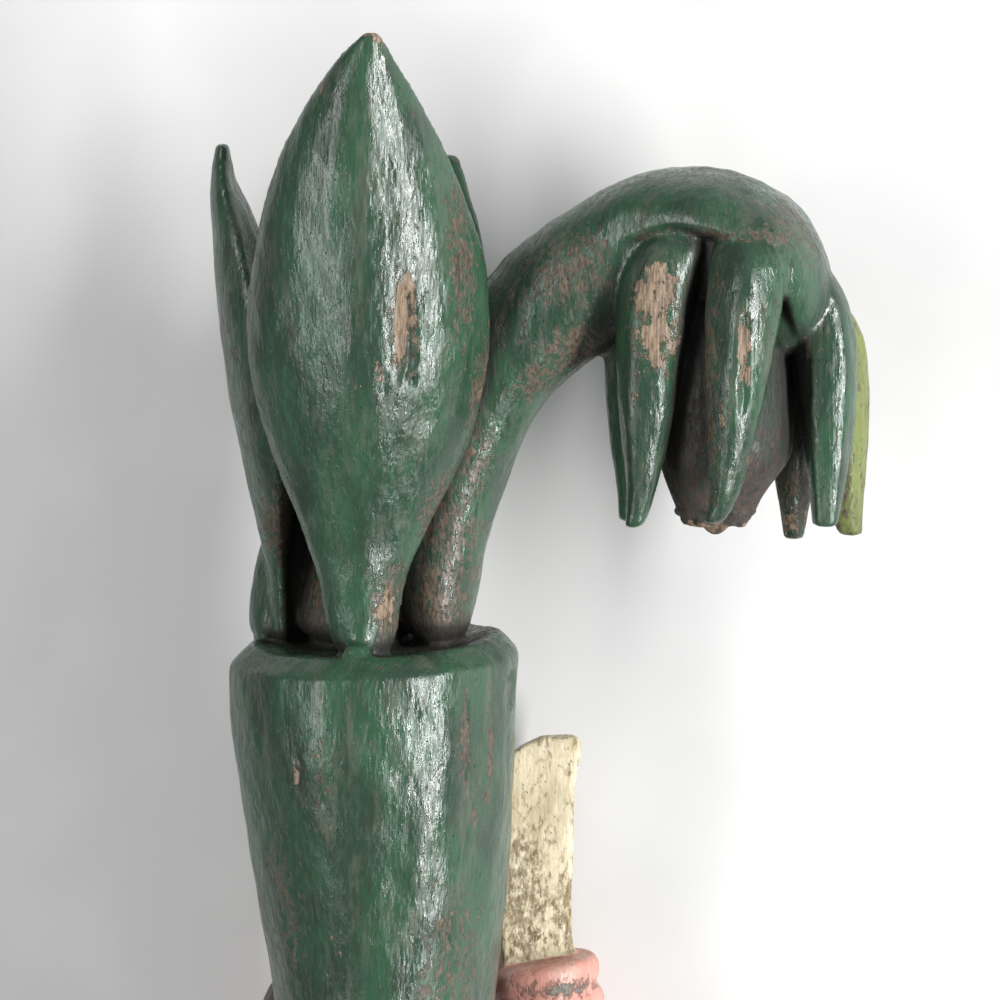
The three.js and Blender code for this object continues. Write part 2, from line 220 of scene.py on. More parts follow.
def spots(tree, size, stretch=1.0, shift=0.0):
    node = add(tree, "ShaderNodeTexVoronoi", feature="F1")
    tree.links.new(alongStaff(tree, stretch, shift), node.inputs["Vector"])
    node.inputs["Scale"].default_value = 1 / size
    return node.outputs["Distance"]


def mask(tree, name):
    return add(tree, "ShaderNodeAttribute", attribute_name=name).outputs["Fac"]


# ---- paint over wood: gloss enamel, its undercoat, bare wood where it has chipped, and dirt with shade painted into the recesses

greenPaint = {
    "paint": (0.02, 0.062, 0.032),
    "deep": (0.015, 0.038, 0.022),
    "haze": (0.085, 0.092, 0.068),
    "hazeAmount": 0.4,
    "under": (0.1, 0.068, 0.044),
    "underDark": (0.03, 0.022, 0.015),
    "wood": (0.22, 0.157, 0.102),
    "woodDark": (0.09, 0.062, 0.042),
    "shadeDirtColour": (0.013, 0.011, 0.009),
    "streaks": 0.55,
    "speckle": 0.0,
    "chips": 0.0,
    "gloss": 0.17,
    "roughPatches": 0.26,
    "relief": 1.0,
    "softness": 0.04,
}
shaftPaint = dict(greenPaint, speckle=0.015, chips=0.01)
plinthPaint = dict(greenPaint, speckle=0.03, chips=0.02)
ripePaint = dict(
    greenPaint, paint=(0.13, 0.16, 0.04), deep=(0.09, 0.11, 0.03), haze=(0.2, 0.18, 0.09), speckle=0.04, gloss=0.34,
)
# the green darkened nearly to black for the core deep between the fruits: painted shade
shadedCorePaint = dict(
    greenPaint, paint=(0.018, 0.03, 0.022), deep=(0.012, 0.012, 0.01), haze=(0.03, 0.03, 0.026), speckle=0.05,
    gloss=0.45, under=(0.05, 0.03, 0.02),
)
skinPaint = dict(
    greenPaint, paint=(0.56, 0.27, 0.22), deep=(0.42, 0.19, 0.15), haze=(0.5, 0.36, 0.3), hazeAmount=0.5,
    under=(0.2, 0.11, 0.08), underDark=(0.1, 0.07, 0.055), wood=(0.2, 0.19, 0.17), woodDark=(0.12, 0.1, 0.08),
    shadeDirtColour=(0.06, 0.025, 0.018), streaks=0.12, speckle=-0.03, gloss=0.34,
)
lipPaint = dict(skinPaint, paint=(0.36, 0.09, 0.075), deep=(0.28, 0.07, 0.06))
hairPaint = dict(
    greenPaint, paint=(0.022, 0.019, 0.017), deep=(0.013, 0.012, 0.011), haze=(0.05, 0.045, 0.04), gloss=0.36,
)
creamPaint = dict(
    greenPaint, paint=(0.6, 0.52, 0.36), deep=(0.44, 0.37, 0.23), haze=(0.7, 0.64, 0.5), hazeAmount=0.6,
    under=(0.2, 0.145, 0.07), underDark=(0.085, 0.062, 0.032), wood=(0.26, 0.19, 0.11), woodDark=(0.12, 0.08, 0.05),
    shadeDirtColour=(0.055, 0.035, 0.02), streaks=0.2, speckle=0.06, gloss=0.46, roughPatches=0.3,
    softness=0.11,
)
clothPaint = dict(creamPaint, paint=(0.5, 0.44, 0.31), deep=(0.4, 0.33, 0.21), speckle=0.03)
eyePaint = dict(creamPaint, speckle=-0.1, gloss=0.25)


def paintedWood(name, look):
    material = bpy.data.materials.new(name)
    material.use_nodes = True
    tree = material.node_tree
    tree.nodes.clear()
    brown, bare, wear, shadeAndGrime = (mask(tree, word) for word in ("brown", "bare", "wear", "shadeAndGrime"))

    # the enamel itself: two tones, a worn grey haze and dark brush streaks
    colour = blend(tree, ramp(tree, grain(tree, 12, 2.4, 2, shift=1), 0.38, 0.62), look["paint"], look["deep"])
    hazy = ramp(tree, grain(tree, 4.5, 4, 5, 0.62, shift=2), 0.5, 0.66)
    colour = blend(tree, times(tree, hazy, look["hazeAmount"]), colour, look["haze"])
    streak = ramp(tree, grain(tree, 0.55, 9, 3, 0.6, shift=3), 0.5, 0.7)
    colour = blend(tree, times(tree, streak, look["streaks"]), colour, look["underDark"])

    # thin places, where the reddish undercoat and dark wood show in flecks
    fleck = grain(tree, 1.5, 1.8, 6, 0.72, shift=4)
    thin = total(tree, fleck, times(tree, brown, 0.24), times(tree, wear, 0.07), look["speckle"])
    thin = ramp(tree, thin, 0.66 - look["softness"], 0.66 + look["softness"])
    underTone = ramp(tree, grain(tree, 0.7, 2.5, 3, 0.6, shift=5), 0.4, 0.62)
    colour = blend(tree, times(tree, thin, 0.9), colour, blend(tree, underTone, look["under"], look["underDark"]))

    # chips down to the wood, with the wood's own grain
    chip = grain(tree, 2.6, 1.7, 7, 0.74, shift=6)
    chip = total(tree, chip, times(tree, bare, 0.34), times(tree, wear, 0.16), look["chips"])
    chip = ramp(tree, chip, 0.735, 0.76)
    woodGrain = ramp(tree, grain(tree, 0.45, 12, 4, 0.6, shift=7), 0.38, 0.64)
    colour = blend(tree, chip, colour, blend(tree, woodGrain, look["wood"], look["woodDark"]))

    # dirt and painted shade in the recesses, darkest where the piece shuts off most of its own view
    shadeAndDirt = total(tree, shadeAndGrime, times(tree, grain(tree, 1.9, 1.3, 4, 0.6, shift=8), 0.5))
    shadeAndDirt = ramp(tree, shadeAndDirt, 0.5, 1.05)
    colour = blend(tree, times(tree, shadeAndDirt, 0.92), colour, look["shadeDirtColour"])

    rough = ramp(tree, grain(tree, 1.1, 5, 4, 0.65, shift=9), 0.42, 0.64, look["gloss"], look["gloss"] + look["roughPatches"])
    rough = total(tree, rough, times(tree, thin, 0.16), times(tree, chip, 0.3), times(tree, shadeAndDirt, 0.3))

    # relief in mm: uneven brushed enamel, fine pimples, pinholes and the edges of the chips
    height = times(tree, grain(tree, 3.4, 2, 2, shift=10), 0.32)
    height = total(tree, height, times(tree, grain(tree, 0.7, 6, 3, 0.6, shift=11), 0.09))
    height = total(tree, height, times(tree, grain(tree, 0.7, 1.5, 3, 0.6, shift=12), 0.08))
    pinhole = ramp(tree, spots(tree, 3.2, 1, shift=13), 0.05, 0.11, -0.25, 0)
    height = total(tree, height, pinhole, times(tree, chip, -0.14), times(tree, thin, -0.05))
    bump = add(tree, "ShaderNodeBump")
    bump.inputs["Strength"].default_value = look["relief"]
    bump.inputs["Distance"].default_value = mm
    tree.links.new(height, bump.inputs["Height"])

    shader = add(tree, "ShaderNodeBsdfPrincipled")
    shader.inputs["IOR"].default_value = 1.5
    feed(tree, shader.inputs["Base Color"], colour)
    feed(tree, shader.inputs["Roughness"], rough)
    tree.links.new(bump.outputs[0], shader.inputs["Normal"])
    out = add(tree, "ShaderNodeOutputMaterial")
    tree.links.new(shader.outputs[0], out.inputs[0])
    return material


def floorMaterial():
    material = bpy.data.materials.new("paleFloor")
    material.use_nodes = True
    tree = material.node_tree
    shader = tree.nodes["Principled BSDF"]
    tone = ramp(tree, grain(tree, 60, 1, 2), 0.35, 0.65)
    feed(tree, shader.inputs["Base Color"], blend(tree, tone, floorLook["colour"], floorLook["other"]))
    shader.inputs["Roughness"].default_value = floorLook["roughness"]
    return material


# ---- drawing with rings


def ringAxes(angle):
    return Matrix.Rotation(angle, 3, "Y")


# Where each ring of a bent limb leans: the angle from upright of the line between its neighbours
def leans(stations, bent):
    angles = []
    for i in range(len(stations)):
        a = stations[max(i - 1, 0)]
        b = stations[min(i + 1, len(stations) - 1)]
        angles.append(math.atan2(b[0] - a[0], b[2] - a[2]) if bent else 0.0)
    return angles


# A surface that is smoothed pulls in a little: the rings are pushed out by as much beforehand
def pushedOut(stations):
    out = []
    for i, here in enumerate(stations):
        if i in (0, len(stations) - 1):
            out.append(tuple(here))
            continue
        back, on = stations[i - 1], stations[i + 1]
        moved = [h - (b - 2 * h + n) / 6 for h, b, n in zip(here, back, on)]
        moved[3] = max(moved[3], here[3] * 0.5)
        moved[4] = max(moved[4], here[4] * 0.5)
        out.append(tuple(moved))
    return out


# The outline of one ring, as a share of its half width and half depth, at an angle from +X.
# keel narrows the front towards an edge, back flattens the far side, inner flattens the +X side.
def ringPoint(angle, look):
    x, y = math.cos(angle), math.sin(angle)
    if y < 0 and "keel" in look:
        power = look["keel"]
        x, y = math.copysign(abs(x) ** power, x), -(abs(y) ** power)
    if y > 0:
        y *= look.get("back", 1)
    if x > 0:
        x *= look.get("inner", 1)
    swell = 1
    if "ridges" in look:
        swell += look["ridgeDepth"] * math.cos(look["ridges"] * (angle + math.pi / 2))
    if "facets" in look:
        each = 2 * math.pi / look["facets"]
        off = (angle - math.radians(look["firstCorner"])) % each - each / 2
        swell += look["facetDepth"] * (math.cos(each / 2) / math.cos(off) - 0.93)
    return x * swell, y * swell


# One limb: rings (x, y, z, half width, half depth) from its root to its tip, then smoothed
def drawLimb(name, stations, sides=16, bent=False, look=None, creases=(), smoothing=2, exact=True):
    if exact:
        stations = pushedOut(stations)
    swell = 1 / (2 / 3 + math.cos(2 * math.pi / sides) / 3)
    angles = leans(stations, bent)
    deselectAll()
    bpy.ops.mesh.primitive_circle_add(vertices=sides, radius=mm, fill_type="NGON")
    limb = bpy.context.object
    limb.name = name
    bpy.ops.object.mode_set(mode="EDIT")
    bpy.context.tool_settings.mesh_select_mode = (True, False, False)
    sheet = bmesh.from_edit_mesh(limb.data)
    for i, vertex in enumerate(sheet.verts):
        # the circle's first point is its back one, and the front and the sides get points of their own
        x, y = ringPoint(math.pi / 2 + i * 2 * math.pi / sides, look or {})
        vertex.co = Vector((x, y, 0)) * swell * mm
    bmesh.update_edit_mesh(limb.data)
    bpy.ops.mesh.select_all(action="SELECT")
    x, y, z, width, depth = stations[0]
    bpy.ops.transform.resize(value=(width, depth, 1), center_override=(0, 0, 0))
    bpy.ops.transform.rotate(value=-angles[0], orient_axis="Y", center_override=(0, 0, 0))
    bpy.ops.transform.translate(value=(x * mm, y * mm, z * mm))
    for i in range(1, len(stations)):
        before, here = stations[i - 1], stations[i]
        step = [(h - b) * mm for h, b in zip(here[:3], before[:3])]
        centre = [value * mm for value in here[:3]]
        bpy.ops.mesh.extrude_region_move(TRANSFORM_OT_translate={"value": step})
        bpy.ops.transform.resize(
            value=(here[3] / before[3], here[4] / before[4], 1),
            orient_type="GLOBAL",
            orient_matrix=ringAxes(angles[i - 1]),
            orient_matrix_type="GLOBAL",
            center_override=centre,
        )
        turn = angles[i] - angles[i - 1]
        if turn:
            bpy.ops.transform.rotate(value=-turn, orient_axis="Y", center_override=centre)
    for column, amount in creases:
        creaseColumn(limb, sides, column, amount)
    bpy.ops.mesh.select_all(action="SELECT")
    bpy.ops.mesh.normals_make_consistent(inside=False)
    bpy.ops.object.mode_set(mode="OBJECT")
    if smoothing:
        bpy.ops.object.modifier_add(type="SUBSURF")
        smooth = limb.modifiers[-1]
        smooth.levels = smooth.render_levels = smoothing
        bpy.ops.object.modifier_apply(modifier=smooth.name)
    return limb


# One long line of a limb, counted round from its back, is kept keen
def creaseColumn(limb, sides, column, amount):
    bpy.ops.mesh.select_all(action="DESELECT")
    sheet = bmesh.from_edit_mesh(limb.data)
    for edge in sheet.edges:
        a, b = (vertex.index % sides for vertex in edge.verts)
        if a == b == column:
            edge.select_set(True)
    bmesh.update_edit_mesh(limb.data)
    bpy.ops.transform.edge_crease(value=amount)


# Turns a drawn limb about the upright line through (x, y)
def turnLimb(limb, degrees, x=0.0, y=0.0):
    turn = Matrix.Rotation(math.radians(degrees), 4, "Z")
    centre = Matrix.Translation((x * mm, y * mm, 0))
    limb.data.transform(centre @ turn @ centre.inverted())
    return limb


def drawBall(name, place, size, lean=0.0, smoothing=1):
    deselectAll()
    bpy.ops.mesh.primitive_uv_sphere_add(segments=20, ring_count=12, radius=mm)
    ball = bpy.context.object
    ball.name = name
    bpy.ops.object.mode_set(mode="EDIT")
    bpy.ops.mesh.select_all(action="SELECT")
    bpy.ops.transform.resize(value=size, center_override=(0, 0, 0))
    bpy.ops.transform.rotate(value=-math.radians(lean), orient_axis="Y", center_override=(0, 0, 0))
    bpy.ops.transform.translate(value=[value * mm for value in place])
    bpy.ops.object.mode_set(mode="OBJECT")
    return ball


# ---- the tree

trunkHeight = 255
trunk = {
    "sides": 32,
    "slope": 0.045,     # the top rises towards the bunch
    "slopeDepth": 16,
    # lean, height, radius
    "form": [
        (3, -257, 25), (3, -251, 23.8), (3, -243, 22.7), (3, -220, 22.1), (3, -170, 22),
        (2.7, -115, 23.2), (2.2, -79, 25.2), (2, -69.5, 26.4), (1.4, -51.6, 28.5),
        (0.5, -33.6, 30.4), (-0.3, -20.2, 31.7), (-0.3, -11, 31.9), (-0.1, -5.4, 31.9),
        (0, -4.3, 31.8), (0, -3.6, 31.3), (0, -2.6, 30.4), (0, -0.6, 28.2), (0, 0.1, 27), (0, 0.2, 25.4),
        (0, -0.8, 22.5), (0, -1.2, 12),
    ],
}


def drawTrunk():
    stations = [(lean, 0, z, radius, radius) for lean, z, radius in trunk["form"]]
    limb = drawLimb("trunk", stations, sides=trunk["sides"])
    for vertex in limb.data.vertices:
        share = min(max(1 + vertex.co.z / mm / trunk["slopeDepth"], 0), 1)
        vertex.co.z += vertex.co.x * trunk["slope"] * share
        vertex.co.x *= 1 + 0.012 * share
    return limb


leaf = {
    # share of the height, share of the half width, distance from the trunk's axis, drift sideways
    "form": [
        (0, 0.3, 18.2, -1.4), (0.09, 0.33, 18.8, -2), (0.19, 0.5, 18.6, -1.6),
        (0.27, 0.68, 18, -0.8), (0.36, 0.87, 17.8, -0.6), (0.5, 1, 19.4, -0.4),
        (0.64, 0.94, 22, -0.4), (0.74, 0.8, 24.4, -0.9), (0.84, 0.6, 27.6, -1.1),
        (0.93, 0.31, 31.4, -0.4), (0.98, 0.13, 34, 0.6), (1, 0.04, 35, 0.9),
    ],
    "bulge": 0.68,
    "look": {"keel": 1.16, "back": 0.22},
    "edgeCrease": 0.75,
    "keelCrease": 0.3,
    "root": 3,
}
# name: direction round the trunk, height, half width, half thickness of the tip, how far out it
# stands, and the most that it leans out
leaves = {
    "frontLeaf": (-90, 136.8, 26, 1.3, 0, 35),
    "leftLeaf": (172, 110, 17.5, 2.9, 1, 31.4),
    "backLeaf": (115, 104, 18, 1.5, 0, 33),
    "rightLeaf": (61, 105.5, 17, 2.8, 1, 34),
}


def drawLeaf(name, direction, height, halfWidth, tip, outwards, most):
    stations = []
    for share, width, reach, drift in leaf["form"]:
        half = max(width * halfWidth, tip)
        z = height * share - (leaf["root"] if share == 0 else 0)
        reach = min(reach, most) + outwards
        stations.append((drift, -reach, z, half, max(half * leaf["bulge"], tip * 0.9)))
    edges = [(4, leaf["edgeCrease"]), (12, leaf["edgeCrease"]), (8, leaf["keelCrease"])]
    limb = drawLimb(name, stations, sides=16, look=leaf["look"], creases=edges)
    return turnLimb(limb, direction + 90)


stub = [
    (-21, 9, -3, 8, 7.5), (-20.8, 9, 6, 7.5, 7), (-19.8, 9.4, 17, 6.6, 6),
    (-19, 10, 25, 4.6, 4.2), (-18.6, 10, 28, 2, 1.8),
]
nub = ((-3, -24.4, 1), (3.2, 2.4, 1.7))
heart = [
    (-4, 4, -3, 15, 15), (-3, 4.5, 12, 12, 12), (-2, 5, 34, 8, 9), (-1, 5, 44, 4, 4),
]

archAzimuth = -8
bunchReach = 80.5
arch = {
    # reach from the trunk's axis, height, half thickness in the arch's plane, half depth
    "form": [
        (13.8, -3, 8.4, 11), (16, 19, 9, 11), (19.4, 38, 10.6, 11), (24.7, 55.4, 12.8, 11.4),
        (35, 69.9, 14.6, 12), (52.4, 83.4, 16.2, 12.8), (68.5, 89.4, 17.4, 13.5), (83.2, 86.1, 17.2, 13.5),
        (91, 76.2, 12.6, 11.5), (94, 65, 6.4, 7),
    ],
    # the hood over the tops of the fruits: how far its middle is above the arch's, and its half depth
    "hood": [
        (4, 8), (5, 13), (6, 17.4), (6.4, 20), (6, 20.8), (4.6, 18.4), (3, 13.4), (2, 7.4),
    ],
    "hoodStarts": 4.8,
    "hoodStep": 0.58,
    "hoodLook": {"inner": 0.34},
}


# A place on the arch's middle line, between two of its rings, and which way it heads there
def alongArch(place):
    form = arch["form"]
    i = min(max(int(place), 0), len(form) - 2)
    share = place - i
    reach, z, thick, deep = (a + (b - a) * share for a, b in zip(form[i], form[i + 1]))
    back, ahead = form[max(i - (share < 0.5), 0)], form[min(i + 1 + (share >= 0.5), len(form) - 1)]
    slope = math.atan2(ahead[1] - back[1], ahead[0] - back[0])
    return reach, z, thick, slope


def drawArch():
    stations = [(reach, 0, z, thick, deep) for reach, z, thick, deep in arch["form"]]
    limb = turnLimb(drawLimb("arch", stations, sides=20, bent=True), archAzimuth)
    stations = []
    for i, (shift, deep) in enumerate(arch["hood"]):
        reach, z, thick, slope = alongArch(arch["hoodStarts"] + i * arch["hoodStep"])
        stations.append((reach - math.sin(slope) * shift, 0, z + math.cos(slope) * shift, thick - shift, deep))
    hood = drawLimb("hood", stations, sides=20, bent=True, look=arch["hoodLook"], creases=[(0, 0.6), (10, 0.6)])
    return [limb, turnLimb(hood, archAzimuth)]


fruit = {
    # distance from the bunch's axis, height, half thickness, blossom end first
    "form": [
        (21, 28, 2.1), (21, 28.8, 2.8), (21, 31, 3.2), (21, 35, 3.9), (21, 44, 5.5),
        (21, 57, 7.6), (20.2, 70, 9.2), (19, 80, 9.9), (16.6, 88, 9), (14, 93.5, 6),
    ],
    "look": {"facets": 5, "facetDepth": 0.75},
}
# name: direction round the bunch, size, how much lower it starts, how much its tip drifts outwards
# and round, how much lower it ends, its thickness at the top, where its first corner points
fruits = {
    "fruitFrontLeft": (-138, 0.88, -1, 4.5, -7, 0.3, 1, -50),
    "fruitFront": (-72, 0.87, -1, 0, -28, -2, 1, -100),
    "fruitFrontRight": (-5, 1.02, 5, 0, -9, 0, 0.4, -125),
    "fruitFarRight": (14, 0.9, 13, 6.8, 8, 3.6, 0.8, -70),
    "fruitBackRight": (56, 0.95, 5, 1, 2, 6.6, 1, -90),
    "fruitBack": (112, 0.98, 0, 0, 3, 1, 1, 90),
    "fruitLeft": (170, 0.96, 0, 3, 0, 1, 1, -110),
}


def drawFruit(name, direction, size, lower, outwards, around, drop, top, corner):
    x = bunchReach * math.cos(math.radians(archAzimuth))
    y = bunchReach * math.sin(math.radians(archAzimuth))
    count = len(fruit["form"]) - 1
    stations = []
    for i, (reach, z, thick) in enumerate(fruit["form"]):
        share = 1 - i / count
        angle = math.radians(direction + archAzimuth + around * share)
        r = reach + outwards * share
        z = z - lower * (1 - share) - drop * share
        thick *= size * (1 + (top - 1) * (1 - share) ** 2)
        stations.append((x + math.cos(angle) * r, y + math.sin(angle) * r, z, thick, thick))
    return drawLimb(name, stations, sides=20, look=dict(fruit["look"], firstCorner=corner))


core = [
    (0, 0, 27.4, 6.4, 6.4), (0, 0, 28, 7.4, 7.4), (0, 0, 33, 9.6, 10), (1, 0, 39, 12.8, 13.2),
    (2, 0, 45, 15.2, 14.2), (1.4, 0, 60, 14.8, 14.2), (0, 0, 84, 13, 13),
]
bud = [(0, 0, 24.4, 0.9, 0.9), (0, 0, 25.6, 2.2, 2.2), (0, 0, 27.4, 3.4, 3.4), (0, 0, 31, 3.6, 3.6)]


def drawCore():
    reach = bunchReach - 4
    x = reach * math.cos(math.radians(archAzimuth))
    y = reach * math.sin(math.radians(archAzimuth))
    parts = []
    for name, form in (("core", core), ("bud", bud)):
        moved = [(x + a, y + b, z, w, d) for a, b, z, w, d in form]
        parts.append(drawLimb(name, moved, sides=16))
    return parts


# ---- the farmer, who faces away from the tall front leaf

farmerY = 34
crown = -77
shoulder = crown - 72
waist = crown - 115
bodyX = -3
headAt = (-5, farmerY + 5, crown - 28)


def drawHead():
    x, y, z = headAt
    skull = drawLimb("skull", [
        (x, y - 6, z - 34, 9, 9), (x, y - 3, z - 27, 10.5, 11), (x, y + 1, z - 24, 14, 15),
        (x, y + 1, z - 14, 18.5, 19.5), (x, y, z - 2, 21, 22), (x, y - 1, z + 10, 21.8, 22.5),
        (x, y - 1, z + 20, 17.5, 18), (x, y - 1, z + 27, 7, 7.5),
    ], sides=20)
    hair = drawBall("hair", (x, y - 4.5, z + 7), (23.4, 22.5, 22))
    nose = drawLimb("nose", [
        (x, y + 19, z - 10.5, 2.6, 2.4), (x, y + 22, z - 7.5, 3.8, 3.4),
        (x, y + 21.8, z - 3, 2.4, 3), (x, y + 19.5, z + 4, 1.6, 2.4),
    ], sides=12)
    parts = [skull, hair, nose]
    for hand in (-1, 1):
        parts.append(drawBall("eye", (x + hand * 8.2, y + 19.4, z), (4.4, 2.6, 2.2), hand * 6))
        parts.append(drawBall("brow", (x + hand * 8.2, y + 19, z + 5.6), (5.8, 2.6, 1.5), hand * 8))
        parts.append(drawBall("ear", (x + hand * 21.6, y - 1, z - 4), (3, 4.4, 6.6)))
    for below in (-15.2, -17.6):
        parts.append(drawBall("lip", (x, y + 18.2, z + below), (6, 2.8, 1.5)))
    return parts


def drawTorso():
    return drawLimb("torso", [
        (bodyX, farmerY, waist - 6, 18, 12), (bodyX, farmerY + 1, waist + 6, 17.5, 12.5),
        (bodyX, farmerY + 1, waist + 20, 20.5, 13.5), (bodyX, farmerY, waist + 33, 25, 13.5),
        (bodyX, farmerY - 1, shoulder + 0.5, 25.5, 11.5),
        (bodyX - 0.5, farmerY - 1, shoulder + 6.5, 17, 9), (bodyX - 1, farmerY, shoulder + 11, 9.8, 8.6),
    ], sides=20)


fistAt = (40.8, farmerY + 4, -96)
fist = {"radius": 12.4, "finger": 7.6, "tilt": 10}


def drawFist():
    x, y, z = fistAt
    tilt = math.tan(math.radians(fist["tilt"]))

    def ring(rise, share):
        return (x - rise * tilt, y, z + rise, fist["radius"] * share, fist["radius"] * share * 0.94)

    width = fist["finger"]
    stations = [ring(-2 * width - 1, 0.6)]
    for finger in range(-2, 2):
        stations += [ring((finger + 0.22) * width, 1), ring((finger + 0.78) * width, 1)]
        stations.append(ring((finger + 1) * width, 0.87 if finger < 1 else 0.8))
    fingers = drawLimb("fingers", stations, sides=16, bent=True)
    thumb = drawLimb("thumb", [
        (x - 9, y + 4, z - 8, 4, 3.4), (x - 5, y + 9.4, z + 1, 4.4, 3.8),
        (x + 1, y + 11.4, z + 8, 4, 3.4), (x + 3, y + 11, z + 11.5, 2.2, 2),
    ], sides=12, bent=True)
    return [fingers, thumb]


def drawArms():
    x, y, z = fistAt
    raised = drawLimb("raisedArm", [
        (15, farmerY - 1, shoulder - 3, 10, 10), (27, farmerY, shoulder, 9.6, 10),
        (41, farmerY + 1, shoulder + 4, 8.2, 8.8), (50.5, farmerY + 2, shoulder + 11, 8, 8.4),
        (51.5, farmerY + 3, shoulder + 24, 7.6, 8), (47, farmerY + 4, shoulder + 35, 6.8, 7),
        (x + 2, y, z - 9, 7.6, 7.6),
    ], bent=True)
    lowered = drawLimb("loweredArm", [
        (-22, farmerY - 1, shoulder - 3, 10, 10), (-33, farmerY, shoulder - 7, 9, 9.6),
        (-39, farmerY + 1, shoulder - 20, 7.8, 8.4), (-40, farmerY + 4, shoulder - 33, 7.4, 7.6),
        (-32, farmerY + 10, shoulder - 42, 6.6, 6.4), (-21, farmerY + 14, shoulder - 45, 6, 4.8),
        (-12, farmerY + 14.5, shoulder - 45, 6.6, 4), (-6, farmerY + 13.5, shoulder - 45, 3.2, 2.2),
    ], bent=True)
    return [raised, lowered, *drawFist()]


blade = {
    "thickness": 4.6,
    # across and up from the fist's middle, round the outline
    "outline": [
        (-11, 8), (-12.8, 22), (-13.7, 40), (-13.6, 58), (-11.4, 61.8), (-8, 65), (-3, 67.2),
        (4, 67.3), (6, 66.2), (6.2, 63.6), (5.6, 60.4), (4.6, 55), (4.4, 42), (3.9, 30), (4.2, 20), (5.6, 9),
    ],
}


def drawBlade():
    x, y, z = fistAt
    deselectAll()
    bpy.ops.mesh.primitive_circle_add(vertices=len(blade["outline"]), radius=mm, fill_type="NGON")
    flat = bpy.context.object
    flat.name = "blade"
    bpy.ops.object.mode_set(mode="EDIT")
    sheet = bmesh.from_edit_mesh(flat.data)
    sheet.verts.ensure_lookup_table()
    half = blade["thickness"] / 2
    for vertex, (across, up) in zip(sheet.verts, blade["outline"]):
        vertex.co = Vector((x + across, y - half, z + up)) * mm
    bmesh.update_edit_mesh(flat.data)
    bpy.ops.mesh.select_all(action="SELECT")
    bpy.ops.mesh.extrude_region_move(TRANSFORM_OT_translate={"value": (0, 2 * half * mm, 0)})
    bpy.ops.mesh.select_all(action="SELECT")
    bpy.ops.mesh.normals_make_consistent(inside=False)
    bpy.ops.object.mode_set(mode="OBJECT")
    grip = drawLimb("grip", [
        (x + 1.8, y, z - 23, 3, 3), (x + 1.6, y, z - 20, 5.4, 5), (x + 1, y, z - 14, 4.4, 4),
        (x, y, z + 12, 5, 4.4),
    ], sides=12)
    return [flat, grip]


def drawCloth():
    hem = -trunkHeight + 11
    wrap = drawLimb("wrap", [
        (bodyX, farmerY, hem, 26, 15.5), (bodyX, farmerY + 0.5, hem + 16, 25, 15.5),
        (bodyX, farmerY + 0.5, hem + 34, 23, 15), (bodyX, farmerY + 1, waist - 6, 20.5, 14.5),
        (bodyX, farmerY + 1, waist + 1, 19.5, 14.2), (bodyX, farmerY + 1, waist + 3.5, 17, 12.5),
    ], sides=56, look={"ridges": 14, "ridgeDepth": 0.03})
    knot = drawBall("knot", (bodyX - 2, farmerY + 15.5, waist - 3), (7, 3.6, 4.6), 20)
    return [wrap, knot]


def drawFeet():
    feet = []
    for hand in (-1, 1):
        # drawn standing on its heel, then laid forward
        limb = drawLimb("foot", [
            (0, 0, -6, 8, 7), (0, 0, 8, 8.6, 6.4), (0, 0.6, 15.5, 9, 5), (0, 1.4, 20, 6, 2.6),
        ], sides=16)
        lay = Matrix.Translation(Vector((bodyX + hand * 11.6, farmerY, -trunkHeight + 5)) * mm)
        limb.data.transform(lay @ Matrix.Rotation(math.radians(-90), 4, "X"))
        feet.append(limb)
    return feet


shaftAxis = (2, 15)
plinth = {"radius": 42, "thickness": 16, "tenonRadius": 9, "tenonLength": 28}


def drawPlinth():
    x, y = shaftAxis
    r = plinth["radius"]
    top = -trunkHeight
    under = top - plinth["thickness"]
    end = under - plinth["tenonLength"]
    t = plinth["tenonRadius"]
    form = [
        (end, t - 1.5), (end + 1.5, t), (under - 0.6, t), (under, t + 0.8), (under, r - 6),
        (under + 0.8, r - 3.6), (under + 5, r - 0.6), (top - 4, r), (top - 1.2, r - 0.8), (top, r - 3.4),
        (top, 12),
    ]
    stations = [(x, y, z, radius, radius) for z, radius in form]
    return drawLimb("plinth", stations, sides=40, smoothing=1, exact=False)


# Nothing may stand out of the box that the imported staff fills, and the side that it lies on is flat
def keepInBox(piece):
    low, high = cadBox
    for vertex in piece.data.vertices:
        vertex.co = [min(max(value, a), b) for value, a, b in zip(vertex.co, low, high)]


# ---- the two lengths of the shaft, turned about the line that the plinth stands on

shaft = {
    "gap": 0.3,
    "top": -271.3,
    "length": 1090,
    "radius": 15.5,
    "sides": 40,
    "between": 16,      # rings at least this close along the plain stretches
}
shaftJoint = shaft["top"] + 0.3 - 545
shaftFoot = shaft["top"] + 0.3 - 1090


def upperProfile():
    top, joint, r = shaft["top"], shaftJoint, shaft["radius"]
    return [
        (top - 29, 4), (top - 29, 9.3), (top - 0.8, 9.3), (top, 10.2), (top, 20.4), (top - 0.8, 21),
        (top - 2.4, 21.2), (top - 3.4, 22.7), (top - 6, 23.4), (top - 8.6, 22.7), (top - 9.4, 21),
        (top - 11.6, 20), (top - 12.6, 16.8), (top - 15, 15.6), (top - 19.4, 15), (top - 20.6, 16.4),
        (top - 23.6, 18.4), (top - 26.5, 19), (top - 29.2, 18.2), (top - 32.2, 16.2), (top - 34.5, r),
        (top - 200, r + 0.4), (joint + 24.5, r), (joint + 23, 16.4), (joint + 19.4, 18.2),
        (joint + 15, 18.9), (joint + 10.8, 18), (joint + 8.8, 16.6), (joint + 7, 16.6),
        (joint + 4.6, 18.4), (joint + 3.4, 19), (joint + 0.8, 19), (joint, 18.2), (joint, 8.8),
        (joint - 0.8, 8), (joint - 29, 8), (joint - 30, 7), (joint - 30, 3),
    ]


